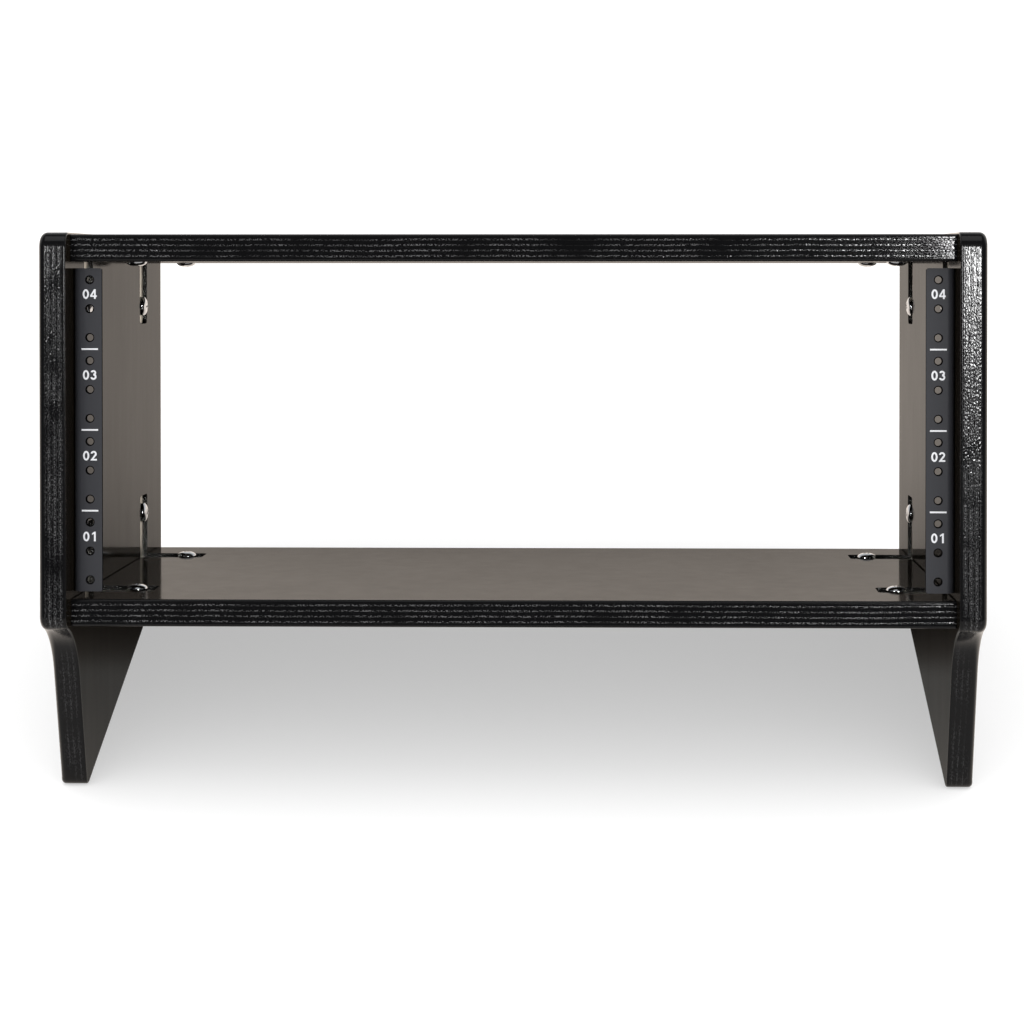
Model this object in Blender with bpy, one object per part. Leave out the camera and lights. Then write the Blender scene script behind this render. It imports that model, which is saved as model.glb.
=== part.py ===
"""Slanted desktop studio rack, 4 rack units, in metres.

Two plywood side panels carry a bay that leans back. Each side panel runs down into a wedge leg that stands
on the table. A top and a bottom board butt between the side panels and are held by eight steel angle
brackets, each let into a slot routed round the inner corner. Two steel rails carry the equipment.

The world has X to the right, the front towards -Y, Z up and the table at Z = 0. The bay is drawn upright in
its own leaning frame, where x is across, u (the frame's Y) goes back and v (the frame's Z) goes up. There
u = 0 is the front edge of the side panels and v = 0 is the underside of the bottom board.
"""

import math

import bmesh
import bpy
from mathutils import Matrix, Vector

# Rack standard
RACK_UNIT = 0.04445
UNITS = 4
HOLE_SPACING_ACROSS = 0.4651
HOLE_FROM_UNIT_EDGE = 0.00635

# Gap kept between pieces that touch
FIT = 0.0003

# Panels and boards
PLY = 0.015
HOLE_FROM_BAY_SIDE = 0.00945
RAIL_END_GAP = 0.0036
BOARD_DEPTH = 0.255
BOARD_INSET = 0.0125
BOARD_EASING = 0.0016

# Side panel outline
LEAN = math.radians(22.0)
TOP_STAND_UP = 0.001
CORNER_RADIUS = 0.008
BELLY_RISE = 0.001
BELLY_SLOPE = math.radians(18.6)
THROAT_RADIUS = 0.042
LEG_RAKE = math.radians(16.6)
FOOT_SETBACK = 0.0535
FOOT_RADIUS = 0.005
HEEL_DROP = 0.0055
OUTER_ROUND = 0.004
TABLE_ROUND = 0.0015
INNER_EASING = 0.001

# Rack rails
RAIL_RECESS = 0.018
RAIL_STEEL = 0.002
HOLE_TO_RAIL_EDGE = 0.00665
RAIL_FLANGE_DEPTH = 0.028
RAIL_BEND = 0.0015
RAIL_CORNER = 0.0015
RAIL_HOLE = 0.005
RAIL_SCREW_INSET = 0.0165
RAIL_SCREWS = 3

# Corner brackets and the slots that they lie in
BRACKET_STEEL = 0.002
BRACKET_WIDTH = 0.0224
BRACKET_REACH = 0.038
BRACKET_BEND = 0.0015
BRACKET_CORNER = 0.003
BRACKET_RECESS = 0.0023
BRACKET_FROM_BOARD_EDGE = 0.047
BRACKET_SCREW_FROM_END = 0.0108
HOLE_CLEARANCE = 0.0006

# Bracket screws
SCREW_HEAD = 0.0118
SCREW_HEAD_HEIGHT = 0.0044
SCREW_SHANK = 0.0055
SCREW_DRIVE = 0.0058
WOOD_UNDER_SCREW = 0.0025

# Rail screws
RAIL_SCREW_HEAD = 0.0078
RAIL_SCREW_HEAD_HEIGHT = 0.0026
RAIL_SCREW_SHANK = 0.004
RAIL_SCREW_DRIVE = 0.0038
RAIL_SCREW_BITE = 0.0089

# Shape of a pan head and its cross drive, as shares of the head and of the drive's width
HEAD_RIM = 0.42
HEAD_CROWN_SWEEP = math.radians(70)
SCREW_TIP = 0.36
DRIVE_DEPTH = 0.6
DRIVE_WING = 0.22
DRIVE_TAPER = 0.4

# Turn from one screw to the next, as a driver leaves them
SCREW_TURN = 0.7

# Bores run on past the screw's tip, and cutters past the surface that they open
BORE_END_GAP = 0.0005
OVERCUT = 0.002

# Sizes that follow
HALF_BAY = HOLE_SPACING_ACROSS / 2 + HOLE_FROM_BAY_SIDE
RAIL_FACE_WIDTH = HOLE_FROM_BAY_SIDE - FIT + HOLE_TO_RAIL_EDGE
RAIL_LENGTH = UNITS * RACK_UNIT
BAY_HEIGHT = RAIL_LENGTH + 2 * RAIL_END_GAP
FLOOR = PLY
CEILING = FLOOR + BAY_HEIGHT
PANEL_DEPTH = BOARD_DEPTH + 2 * BOARD_INSET
PANEL_TOP = CEILING + PLY + TOP_STAND_UP
FOOT_DROP = HEEL_DROP + (PANEL_DEPTH - FOOT_SETBACK) * math.tan(LEAN)
SLOT_DEPTH = BRACKET_RECESS + BRACKET_STEEL + FIT
SLOT_WIDTH = BRACKET_WIDTH + 2 * FIT
SLOT_REACH = BRACKET_REACH + FIT
SEAT_DEPTH = BRACKET_RECESS - FIT
SCREW_LENGTH = PLY - SEAT_DEPTH - WOOD_UNDER_SCREW
RAIL_SCREW_LENGTH = RAIL_STEEL + 2 * FIT + RAIL_SCREW_BITE

# Steps in the round stretches
ARRIS_STEPS = 4
EASING_STEPS = 2
CORNER_STEPS = 6
THROAT_STEPS = 10
FOOT_STEPS = 5
BOARD_EASING_STEPS = 3
BEND_STEPS = 5
STRIP_CORNER_STEPS = 3
CROWN_STEPS = 4
SCREW_SIDES = 16
RAIL_SCREW_SIDES = 10
HOLE_SIDES = 16
SMOOTH_BELOW = math.radians(32)
SAME_PLACE = 1e-6

STEEL_BLACK = (0.012, 0.012, 0.013, 1.0)
STEEL_ZINC = (0.42, 0.42, 0.41, 1.0)
CHROME = (0.75, 0.75, 0.76, 1.0)
FILM = (0.035, 0.032, 0.028, 1.0)


def clear_scene():
    for item in list(bpy.data.objects):
        bpy.data.objects.remove(item, do_unlink=True)


def make_material(name, colour, roughness, metallic):
    material = bpy.data.materials.new(name)
    material.use_nodes = True
    shader = material.node_tree.nodes["Principled BSDF"]
    shader.inputs["Base Color"].default_value = colour
    shader.inputs["Roughness"].default_value = roughness
    shader.inputs["Metallic"].default_value = metallic
    return material


def corner_turn(before, corner, after):
    way_in = (corner - before).normalized()
    way_out = (after - corner).normalized()
    return way_in, math.atan2(way_in.cross(way_out), way_in.dot(way_out))


def corner_arc(before, corner, after, radius, steps):
    """Points of the fillet at a corner, each with its outward normal and its share of the arc."""
    way_in, turn = corner_turn(before, corner, after)
    start = corner - way_in * radius * math.tan(abs(turn) / 2)
    side = math.copysign(1.0, turn)
    centre = start + Vector((-way_in.y, way_in.x)) * radius * side
    outward = Vector((way_in.y, -way_in.x))
    points = []
    for step in range(steps + 1):
        share = step / steps
        spin = Matrix.Rotation(turn * share, 2)
        points.append((centre + spin @ (start - centre), spin @ outward, share))
    return points


def fitted_radii(places, radii):
    """The radii, each made small enough for the straight runs beside its corner."""
    count = len(places)
    runs = []
    for index, radius in enumerate(radii):
        _, turn = corner_turn(places[index - 1], places[index], places[(index + 1) % count])
        runs.append(radius * math.tan(abs(turn) / 2))
    shares = [1.0] * count
    for index in range(count):
        following = (index + 1) % count
        room = (places[following] - places[index]).length
        share = room / max(runs[index] + runs[following], room)
        shares[index] = min(shares[index], share)
        shares[following] = min(shares[following], share)
    return [radius * share for radius, share in zip(radii, shares)]


def rounded_outline(corners):
    """Outline through (u, v, radius, steps) corners, taken counter-clockwise, with a fillet at each."""
    places = [Vector((u, v)) for u, v, _, _ in corners]
    radii = fitted_radii(places, [radius for _, _, radius, _ in corners])
    count = len(corners)
    outline = []
    for index, (_, _, _, steps) in enumerate(corners):
        if radii[index] == 0:
            outline.append((places[index], Vector((0, 0)), 0.0, index))
            continue
        before = places[index - 1]
        after = places[(index + 1) % count]
        for point, outward, share in corner_arc(before, places[index], after, radii[index], steps):
            outline.append((point, outward, share, index))
    return outline


def closed_mesh(name, *bodies):
    """Mesh of closed bodies, each given as rings of equal length with a flat face at either end."""
    work = bmesh.new()
    for rings in bodies:
        rows = [[work.verts.new(point) for point in ring] for ring in rings]
        count = len(rows[0])
        for low, high in zip(rows, rows[1:]):
            for index in range(count):
                following = (index + 1) % count
                work.faces.new((low[index], low[following], high[following], high[index]))
        work.faces.new(rows[0][::-1])
        work.faces.new(rows[-1])
    bmesh.ops.recalc_face_normals(work, faces=work.faces)
    mesh = bpy.data.meshes.new(name)
    work.to_mesh(mesh)
    work.free()
    return mesh


def add_object(name, mesh, material, place=(0, 0, 0), turn=None):
    if material.name not in mesh.materials:
        mesh.materials.append(material)
    item = bpy.data.objects.new(name, mesh)
    bpy.context.scene.collection.objects.link(item)
    item.parent = leaning_frame
    item.location = place
    if turn is not None:
        item.rotation_euler = turn
    return item


def smooth_round_parts(mesh):
    mesh.shade_smooth()
    mesh.set_sharp_from_angle(angle=SMOOTH_BELOW)


def add_cutter(name, bodies):
    """A hidden cutter made of separate bodies."""
    cutter = bpy.data.objects.new(name, closed_mesh(name, *bodies))
    bpy.context.scene.collection.objects.link(cutter)
    cutter.parent = leaning_frame
    cutter.display_type = "WIRE"
    cutter.hide_render = True
    return cutter


def rod_rings(start, end, diameter):
    """Both end rings of a round rod between two points."""
    run = Vector(end) - Vector(start)
    upright = run.to_track_quat("Z", "Y").to_matrix()
    rings = []
    for place in (start, end):
        ring = []
        for index in range(HOLE_SIDES):
            angle = 2 * math.pi * index / HOLE_SIDES
            spoke = Vector((math.cos(angle), math.sin(angle), 0)) * diameter / 2
            ring.append(Vector(place) + upright @ spoke)
        rings.append(ring)
    return rings


def cut(item, cutter):
    modifier = item.modifiers.new(cutter.name, "BOOLEAN")
    modifier.operation = "DIFFERENCE"
    modifier.solver = "EXACT"
    modifier.object = cutter


def table_height(u):
    """Height v of the table line under the side panels, at depth u."""
    return -FOOT_DROP + (u - FOOT_SETBACK) * math.tan(LEAN)


def panel_corners():
    """Side panel outline from the top front corner, down the front and round, in the leaning frame."""
    down_leg = Vector((math.sin(LEG_RAKE), -math.cos(LEG_RAKE)))
    down_belly = Vector((math.cos(BELLY_SLOPE), -math.sin(BELLY_SLOPE)))
    belly = Vector((0, BELLY_RISE))
    foot = Vector((FOOT_SETBACK, -FOOT_DROP))
    reach = (foot - belly).cross(down_leg) / down_belly.cross(down_leg)
    throat = belly + down_belly * reach
    return [
        (0, PANEL_TOP, CORNER_RADIUS, CORNER_STEPS),
        (belly.x, belly.y, CORNER_RADIUS, CORNER_STEPS),
        (throat.x, throat.y, THROAT_RADIUS, THROAT_STEPS),
        (foot.x, foot.y, FOOT_RADIUS, FOOT_STEPS),
        (PANEL_DEPTH, table_height(PANEL_DEPTH), CORNER_RADIUS, CORNER_STEPS),
        (PANEL_DEPTH, PANEL_TOP, CORNER_RADIUS, CORNER_STEPS),
    ]


def panel_outline():
    """Outline points, outward normals and the round of the outer arris, which is small along the table."""
    rounds = (OUTER_ROUND, OUTER_ROUND, OUTER_ROUND, TABLE_ROUND, OUTER_ROUND, OUTER_ROUND)
    outline = []
    for point, outward, share, corner in rounded_outline(panel_corners()):
        arris = rounds[corner - 1] * (1 - share) + rounds[corner] * share
        outline.append((point, outward, arris))
    return outline


def make_side_panel(name, side):
    """Side panel with its inner face on x = 0, a full round on its outer arris and an eased inner one."""
    outline = panel_outline()
    rings = []
    for step in range(EASING_STEPS + 1):
        angle = math.pi / 2 * step / EASING_STEPS
        across = INNER_EASING * (1 - math.cos(angle))
        drawn_in = INNER_EASING * (1 - math.sin(angle))
        rings.append([(side * across, *(point - outward * drawn_in)) for point, outward, _ in outline])
    for step in range(ARRIS_STEPS + 1):
        angle = math.pi / 2 * step / ARRIS_STEPS
        ring = []
        for point, outward, arris in outline:
            across = PLY - arris * (1 - math.sin(angle))
            drawn_in = arris * (1 - math.cos(angle))
            ring.append((side * across, *(point - outward * drawn_in)))
        rings.append(ring)
    mesh = closed_mesh(name, rings)
    smooth_round_parts(mesh)
    return add_object(name, mesh, make_material(name, FILM, 0.42, 0.0), (side * HALF_BAY, 0, 0))


def make_board(name, underside):
    """Board between the side panels, its four long arrises eased."""
    front = BOARD_INSET
    back = BOARD_INSET + BOARD_DEPTH
    top = underside + PLY
    places = ((front, top), (front, underside), (back, underside), (back, top))
    corners = [(*place, BOARD_EASING, BOARD_EASING_STEPS) for place in places]
    outline = [point for point, _, _, _ in rounded_outline(corners)]
    end = HALF_BAY - FIT
    rings = [[(x, *point) for point in outline] for x in (-end, end)]
    mesh = closed_mesh(name, rings)
    smooth_round_parts(mesh)
    return add_object(name, mesh, make_material(name, FILM, 0.42, 0.0))


def bracket_places():
    """Every inner corner that has a bracket: its name, side, depth, height and the way into the bay."""
    front = BOARD_INSET + BRACKET_FROM_BOARD_EDGE
    back = BOARD_INSET + BOARD_DEPTH - BRACKET_FROM_BOARD_EDGE
    places = []
    for side_name, side in (("left", -1), ("right", 1)):
        for depth_name, depth in (("front", front), ("back", back)):
            for level_name, level, up in (("bottom", FLOOR, 1), ("top", CEILING, -1)):
                places.append((f"{depth_name}_{level_name}_{side_name}", side, depth, level, up))
    return places


def slot_rings(leg, side, depth, level, up):
    """Slot for one leg of a bracket, from past the corner to its tip, with the round corners of a cutter."""
    past_corner = -OVERCUT if leg == "board" else -SLOT_DEPTH
    half = SLOT_WIDTH / 2
    corners = [
        (past_corner, -half, 0, 0),
        (SLOT_REACH, -half, BRACKET_CORNER + FIT, STRIP_CORNER_STEPS),
        (SLOT_REACH, half, BRACKET_CORNER + FIT, STRIP_CORNER_STEPS),
        (past_corner, half, 0, 0),
    ]
    rings = []
    for height in (-SLOT_DEPTH, OVERCUT):
        ring = []
        for point, _, _, _ in rounded_outline(corners):
            into_bay, above = (point.x, height) if leg == "board" else (height, point.x)
            ring.append((side * (HALF_BAY - into_bay), depth + point.y, level + up * above))
        rings.append(ring)
    return rings


def bracket_screw_seats(side, depth, level, up):
    """Seat of the screw in the board leg and of the one in the panel leg, each with its outward way."""
    corner = Vector((side * HALF_BAY, depth, level))
    inward = Vector((-side, 0, 0))
    upward = Vector((0, 0, up))
    reach = BRACKET_REACH - BRACKET_SCREW_FROM_END
    return (
        ("board", corner + inward * reach - upward * SEAT_DEPTH, upward),
        ("panel", corner + upward * reach - inward * SEAT_DEPTH, inward),
    )


def screw_bore(seat, way, shank, length):
    """Bore that takes a screw's shank, from just above its seat to a little past its tip."""
    start = seat + way * OVERCUT
    end = seat - way * (length + BORE_END_GAP)
    return rod_rings(start, end, shank + 2 * FIT)


def rail_screw_seats(side):
    """Seats on the inner face of the rail's flange, spread evenly over the rail's length."""
    across = side * (HALF_BAY - FIT - RAIL_STEEL - FIT)
    depth = RAIL_RECESS + RAIL_SCREW_INSET
    seats = []
    for index in range(RAIL_SCREWS):
        height = FLOOR + RAIL_END_GAP + RAIL_LENGTH * (index + 0.5) / RAIL_SCREWS
        seats.append((Vector((across, depth, height)), Vector((-side, 0, 0))))
    return seats


def cut_panel(panel, side_name, side):
    corners = [place for _, *place in bracket_places() if place[0] == side]
    slots = [slot_rings("panel", *place) for place in corners]
    cut(panel, add_cutter(f"{side_name}_panel_slots", slots))
    bores = []
    for place in corners:
        for leg, seat, way in bracket_screw_seats(*place):
            if leg == "panel":
                bores.append(screw_bore(seat, way, SCREW_SHANK, SCREW_LENGTH))
    for seat, way in rail_screw_seats(side):
        bores.append(screw_bore(seat, way, RAIL_SCREW_SHANK, RAIL_SCREW_LENGTH))
    cut(panel, add_cutter(f"{side_name}_panel_bores", bores))


def cut_board(board, board_name, board_level):
    corners = [place for _, *place in bracket_places() if place[2] == board_level]
    slots = [slot_rings("board", *place) for place in corners]
    cut(board, add_cutter(f"{board_name}_slots", slots))
    bores = []
    for place in corners:
        for leg, seat, way in bracket_screw_seats(*place):
            if leg == "board":
                bores.append(screw_bore(seat, way, SCREW_SHANK, SCREW_LENGTH))
    cut(board, add_cutter(f"{board_name}_bores", bores))


def round_corners(mesh, chosen, radius):
    """Rounds the short edges that the test picks, such as the corners of a strip's end."""
    work = bmesh.new()
    work.from_mesh(mesh)
    edges = [edge for edge in work.edges if chosen(edge)]
    bmesh.ops.bevel(work, geom=edges, offset=radius, segments=STRIP_CORNER_STEPS, affect="EDGES")
    work.to_mesh(mesh)
    work.free()


def bracket_mesh():
    """Angle bracket for a bottom left corner, at the meeting point of the two surfaces it is let into."""
    outer = -BRACKET_RECESS - BRACKET_STEEL
    inner = -BRACKET_RECESS
    corners = [
        (outer, outer, BRACKET_BEND + BRACKET_STEEL, BEND_STEPS),
        (BRACKET_REACH, outer, 0, 0),
        (BRACKET_REACH, inner, 0, 0),
        (inner, inner, BRACKET_BEND, BEND_STEPS),
        (inner, BRACKET_REACH, 0, 0),
        (outer, BRACKET_REACH, 0, 0),
    ]
    outline = [point for point, _, _, _ in rounded_outline(corners)]
    half = BRACKET_WIDTH / 2
    rings = [[(point.x, u, point.y) for point in outline] for u in (-half, half)]
    mesh = closed_mesh("corner_bracket", rings)

    def at_leg_end(edge):
        a, b = (vertex.co for vertex in edge.verts)
        through_steel = abs((a - b).length - BRACKET_STEEL) < SAME_PLACE
        across_end = abs(a.y - b.y) < SAME_PLACE and max(a.x, a.z) > BRACKET_REACH - SAME_PLACE
        return through_steel and across_end

    round_corners(mesh, at_leg_end, BRACKET_CORNER)
    return mesh


def make_brackets():
    material = make_material("bracket_zinc", STEEL_ZINC, 0.38, 1.0)
    mesh = bracket_mesh()
    smooth_round_parts(mesh)
    for name, side, depth, level, up in bracket_places():
        quarter_turns = {(-1, 1): 0, (-1, -1): 1, (1, -1): 2, (1, 1): 3}[(side, up)]
        place = Vector((side * HALF_BAY, depth, level))
        turn = (0, math.pi / 2 * quarter_turns, 0)
        bracket = add_object(f"{name}_bracket", mesh, material, place, turn)
        holes = []
        for _, seat, way in bracket_screw_seats(side, depth, level, up):
            start = seat + way * OVERCUT
            end = seat - way * (BRACKET_STEEL + OVERCUT)
            holes.append(rod_rings(start, end, SCREW_SHANK + 2 * HOLE_CLEARANCE))
        cut(bracket, add_cutter(f"{name}_bracket_holes", holes))


def cross_drive(width, depth, top):
    """Cross-shaped recess: two wedges that narrow downwards."""
    long = width / 2
    wing = long * DRIVE_WING
    wedges = []
    for angle in (0, math.pi / 2):
        turn = Matrix.Rotation(angle, 3, "Z")
        rings = []
        for share, height in ((DRIVE_TAPER, top - depth), (1.0, top + BORE_END_GAP)):
            ends = ((-1, -1), (1, -1), (1, 1), (-1, 1))
            rings.append([turn @ Vector((a * long * share, b * wing * share, height)) for a, b in ends])
        wedges.append(rings)
    return wedges


def screw_mesh(name, head, head_height, shank, length, drive, sides):
    """Pan-head screw standing on its seat at z = 0, shank down, with a cross drive in its crown."""
    blunt = shank / 2 * SCREW_TIP
    profile = [(blunt, -length), (shank / 2, blunt - length), (shank / 2, 0), (head / 2, 0)]
    rim = head_height * HEAD_RIM
    crown = (head_height - rim) / math.sin(HEAD_CROWN_SWEEP)
    for step in range(CROWN_STEPS + 1):
        angle = HEAD_CROWN_SWEEP * step / CROWN_STEPS
        profile.append((head / 2 * math.cos(angle), rim + crown * math.sin(angle)))
    rings = []
    for radius, height in profile:
        ring = []
        for index in range(sides):
            angle = 2 * math.pi * index / sides
            ring.append((radius * math.cos(angle), radius * math.sin(angle), height))
        rings.append(ring)
    plain = bpy.data.objects.new(f"{name}_blank", closed_mesh(f"{name}_blank", rings))
    bpy.context.scene.collection.objects.link(plain)
    cutter = add_cutter(f"{name}_drive", cross_drive(drive, head_height * DRIVE_DEPTH, head_height))
    cutter.parent = None
    modifier = plain.modifiers.new("drive", "BOOLEAN")
    modifier.operation = "DIFFERENCE"
    modifier.solver = "EXACT"
    modifier.use_self = True
    modifier.object = cutter
    bpy.context.view_layer.update()
    mesh = bpy.data.meshes.new_from_object(plain.evaluated_get(bpy.context.evaluated_depsgraph_get()))
    mesh.name = name
    bpy.data.objects.remove(plain, do_unlink=True)
    bpy.data.objects.remove(cutter, do_unlink=True)
    smooth_round_parts(mesh)
    return mesh


def turn_to(way, spin):
    """Rotation that stands a screw along the given way, turned about itself."""
    upright = way.to_track_quat("Z", "Y").to_matrix()
    return (upright @ Matrix.Rotation(spin, 3, "Z")).to_euler()


def make_bracket_screws():
    material = make_material("screw_chrome", CHROME, 0.12, 1.0)
    sizes = (SCREW_HEAD, SCREW_HEAD_HEIGHT, SCREW_SHANK, SCREW_LENGTH, SCREW_DRIVE, SCREW_SIDES)
    mesh = screw_mesh("pan_head_screw", *sizes)
    count = 0
    for name, *place in bracket_places():
        for leg, seat, way in bracket_screw_seats(*place):
            add_object(f"{name}_{leg}_screw", mesh, material, seat, turn_to(way, SCREW_TURN * count))
            count += 1


def make_rail_screws():
    material = make_material("rail_screw_black", STEEL_BLACK, 0.35, 1.0)
    head = (RAIL_SCREW_HEAD, RAIL_SCREW_HEAD_HEIGHT)
    rest = (RAIL_SCREW_SHANK, RAIL_SCREW_LENGTH, RAIL_SCREW_DRIVE, RAIL_SCREW_SIDES)
    mesh = screw_mesh("rail_screw", *head, *rest)
    for side_name, side in (("left", -1), ("right", 1)):
        for index, (seat, way) in enumerate(rail_screw_seats(side)):
            turn = turn_to(way, SCREW_TURN * index)
            add_object(f"{side_name}_rail_screw_{index + 1}", mesh, material, seat, turn)


def unit_hole_heights():
    """Heights of the three holes in a rack unit: two near its edges and one in its middle."""
    return (HOLE_FROM_UNIT_EDGE, RACK_UNIT / 2, RACK_UNIT - HOLE_FROM_UNIT_EDGE)


def make_rail(side_name, side):
    """Steel angle: its face looks forward, its flange runs back along the side panel."""
    near = FIT
    free = FIT + RAIL_FACE_WIDTH
    corners = [
        (near, 0, RAIL_BEND + RAIL_STEEL, BEND_STEPS),
        (free, 0, 0, 0),
        (free, RAIL_STEEL, 0, 0),
        (near + RAIL_STEEL, RAIL_STEEL, RAIL_BEND, BEND_STEPS),
        (near + RAIL_STEEL, RAIL_FLANGE_DEPTH, 0, 0),
        (near, RAIL_FLANGE_DEPTH, 0, 0),
    ]
    outline = [point for point, _, _, _ in rounded_outline(corners)]
    rings = [[(-side * point.x, point.y, v) for point in outline] for v in (0, RAIL_LENGTH)]
    name = f"{side_name}_rack_rail"
    mesh = closed_mesh(name, rings)

    def at_free_corner(edge):
        a, b = (vertex.co for vertex in edge.verts)
        level = abs(a.z - b.z) < SAME_PLACE and abs((a - b).length - RAIL_STEEL) < SAME_PLACE
        return level and abs(abs(a.x) - free) < SAME_PLACE and abs(abs(b.x) - free) < SAME_PLACE

    round_corners(mesh, at_free_corner, RAIL_CORNER)
    smooth_round_parts(mesh)
    foot = FLOOR + RAIL_END_GAP
    material = make_material(name, STEEL_BLACK, 0.4, 0.3)
    rail = add_object(name, mesh, material, (side * HALF_BAY, RAIL_RECESS, foot))
    holes = []
    across = side * HOLE_SPACING_ACROSS / 2
    for unit in range(UNITS):
        for above in unit_hole_heights():
            height = foot + unit * RACK_UNIT + above
            start = (across, RAIL_RECESS - OVERCUT, height)
            end = (across, RAIL_RECESS + RAIL_STEEL + OVERCUT, height)
            holes.append(rod_rings(start, end, RAIL_HOLE))
    for seat, way in rail_screw_seats(side):
        start = seat + way * OVERCUT
        end = seat - way * (RAIL_STEEL + OVERCUT)
        holes.append(rod_rings(start, end, RAIL_SCREW_SHANK + 2 * FIT))
    cut(rail, add_cutter(f"{name}_holes", holes))


def stand_on_table():
    """Leans the bay back and centres the whole over the origin, its feet on the table."""
    turn = Matrix.Rotation(-LEAN, 3, "X")
    points = [turn @ Vector((0, *point)) for point, _, _ in panel_outline()]
    front = min(point.y for point in points)
    back = max(point.y for point in points)
    foot = (turn @ Vector((0, FOOT_SETBACK, -FOOT_DROP))).z
    leaning_frame.rotation_euler = (-LEAN, 0, 0)
    leaning_frame.location = (0, -(front + back) / 2, -foot)


clear_scene()
leaning_frame = bpy.data.objects.new("leaning_frame", None)
bpy.context.scene.collection.objects.link(leaning_frame)

for side_label, side_sign in (("left", -1), ("right", 1)):
    side_panel = make_side_panel(f"{side_label}_side_panel", side_sign)
    cut_panel(side_panel, side_label, side_sign)
    make_rail(side_label, side_sign)

for board_label, board_underside, bay_level in (
    ("bottom_panel", 0.0, FLOOR),
    ("top_panel", CEILING, CEILING),
):
    board_item = make_board(board_label, board_underside)
    cut_board(board_item, board_label, bay_level)

make_brackets()
make_bracket_screws()
make_rail_screws()
stand_on_table()
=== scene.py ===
# %% [markdown]
# # Slanted desktop studio rack
# The rack stands on a desk and holds four units of 19-inch equipment at a slant. It is made of black
# film-faced plywood, folded steel rails and angle brackets that are let into the wood. This lesson dresses
# the packed solids: each piece is made again with finer rounds and its real finish, in the same place.

# %% Load the packed solids
import math

import bmesh
import bpy
from mathutils import Matrix, Vector


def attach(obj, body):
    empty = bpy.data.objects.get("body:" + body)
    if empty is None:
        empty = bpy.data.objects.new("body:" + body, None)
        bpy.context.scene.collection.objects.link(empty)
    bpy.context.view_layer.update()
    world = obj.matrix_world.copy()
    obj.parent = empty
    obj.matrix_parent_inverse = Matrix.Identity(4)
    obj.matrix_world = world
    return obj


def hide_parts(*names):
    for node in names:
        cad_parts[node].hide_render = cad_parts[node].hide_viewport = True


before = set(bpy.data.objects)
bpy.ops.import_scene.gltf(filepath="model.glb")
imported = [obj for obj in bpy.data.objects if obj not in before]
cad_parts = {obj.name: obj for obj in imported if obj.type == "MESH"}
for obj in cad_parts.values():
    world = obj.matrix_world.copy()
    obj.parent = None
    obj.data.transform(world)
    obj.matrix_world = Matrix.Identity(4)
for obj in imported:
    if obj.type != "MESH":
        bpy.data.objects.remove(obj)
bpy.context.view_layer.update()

# %% [markdown]
# ## The leaning frame
# The bay leans back by 22 degrees and everything in it is square to itself, so it is easiest to draw it
# upright. In the leaning frame x goes across, u goes back from the front edge of the side panels and v goes
# up from the underside of the bottom board. One matrix then places every finished mesh in the world. It is
# put into the vertices, not on the object, so that patterns on Object coordinates stay where they are.

# %% Sizes of the rack, in metres
RACK_UNIT = 0.04445
UNITS = 4
HOLE_SPACING_ACROSS = 0.4651
HOLE_FROM_UNIT_EDGE = 0.00635
HOLE_FROM_BAY_SIDE = 0.00945
FIT = 0.0003
PLY = 0.015
RAIL_END_GAP = 0.0036
BOARD_DEPTH = 0.255
BOARD_INSET = 0.0125
TOP_STAND_UP = 0.001
FOOT_SETBACK = 0.0535
HEEL_DROP = 0.0055
LEAN = math.radians(22)
SIDES = (("left", -1), ("right", 1))

HALF_BAY = HOLE_SPACING_ACROSS / 2 + HOLE_FROM_BAY_SIDE
BOARD_END = HALF_BAY - FIT
RAIL_LENGTH = UNITS * RACK_UNIT
FLOOR = PLY
RAIL_FOOT = FLOOR + RAIL_END_GAP
CEILING = FLOOR + RAIL_LENGTH + 2 * RAIL_END_GAP
PANEL_DEPTH = BOARD_DEPTH + 2 * BOARD_INSET
PANEL_TOP = CEILING + PLY + TOP_STAND_UP
FOOT_DROP = HEEL_DROP + (PANEL_DEPTH - FOOT_SETBACK) * math.tan(LEAN)
print("bay", round(HALF_BAY * 2000, 1), "mm wide,", round((CEILING - FLOOR) * 1000, 1), "mm high")

# %% A fillet and an outline
def fillet(before, corner, after, radius, steps):
    """Points of the round at a corner, each with its outward normal and its share of the arc."""
    way_in = (corner - before).normalized()
    way_out = (after - corner).normalized()
    turn = math.atan2(way_in.cross(way_out), way_in.dot(way_out))
    start = corner - way_in * radius * math.tan(abs(turn) / 2)
    centre = start + Vector((-way_in.y, way_in.x)) * math.copysign(radius, turn)
    outward = Vector((way_in.y, -way_in.x))
    arc = []
    for step in range(steps + 1):
        spin = Matrix.Rotation(turn * step / steps, 2)
        arc.append((centre + spin @ (start - centre), spin @ outward, step / steps))
    return arc


def rounded_outline(corners):
    """Outline through (u, v, radius, steps) corners, counter-clockwise, with a fillet at each."""
    outline = []
    for index, (u, v, radius, steps) in enumerate(corners):
        before = Vector(corners[index - 1][:2])
        after = Vector(corners[(index + 1) % len(corners)][:2])
        if radius:
            for point, outward, share in fillet(before, Vector((u, v)), after, radius, steps):
                outline.append((point, outward, share, index))
        else:
            outline.append((Vector((u, v)), Vector((0, 0)), 0, index))
    return outline


print("points in a quarter round", len(fillet(Vector((0, 0)), Vector((1, 0)), Vector((1, 1)), 0.1, 8)))

# %% Outline of a side panel
CORNER_RADIUS = 0.0083
THROAT_RADIUS = 0.042
FOOT_RADIUS = 0.005
LEG_RAKE = math.radians(16.6)
BELLY_SLOPE = math.radians(18.6)
BELLY_RISE = 0.001


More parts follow.
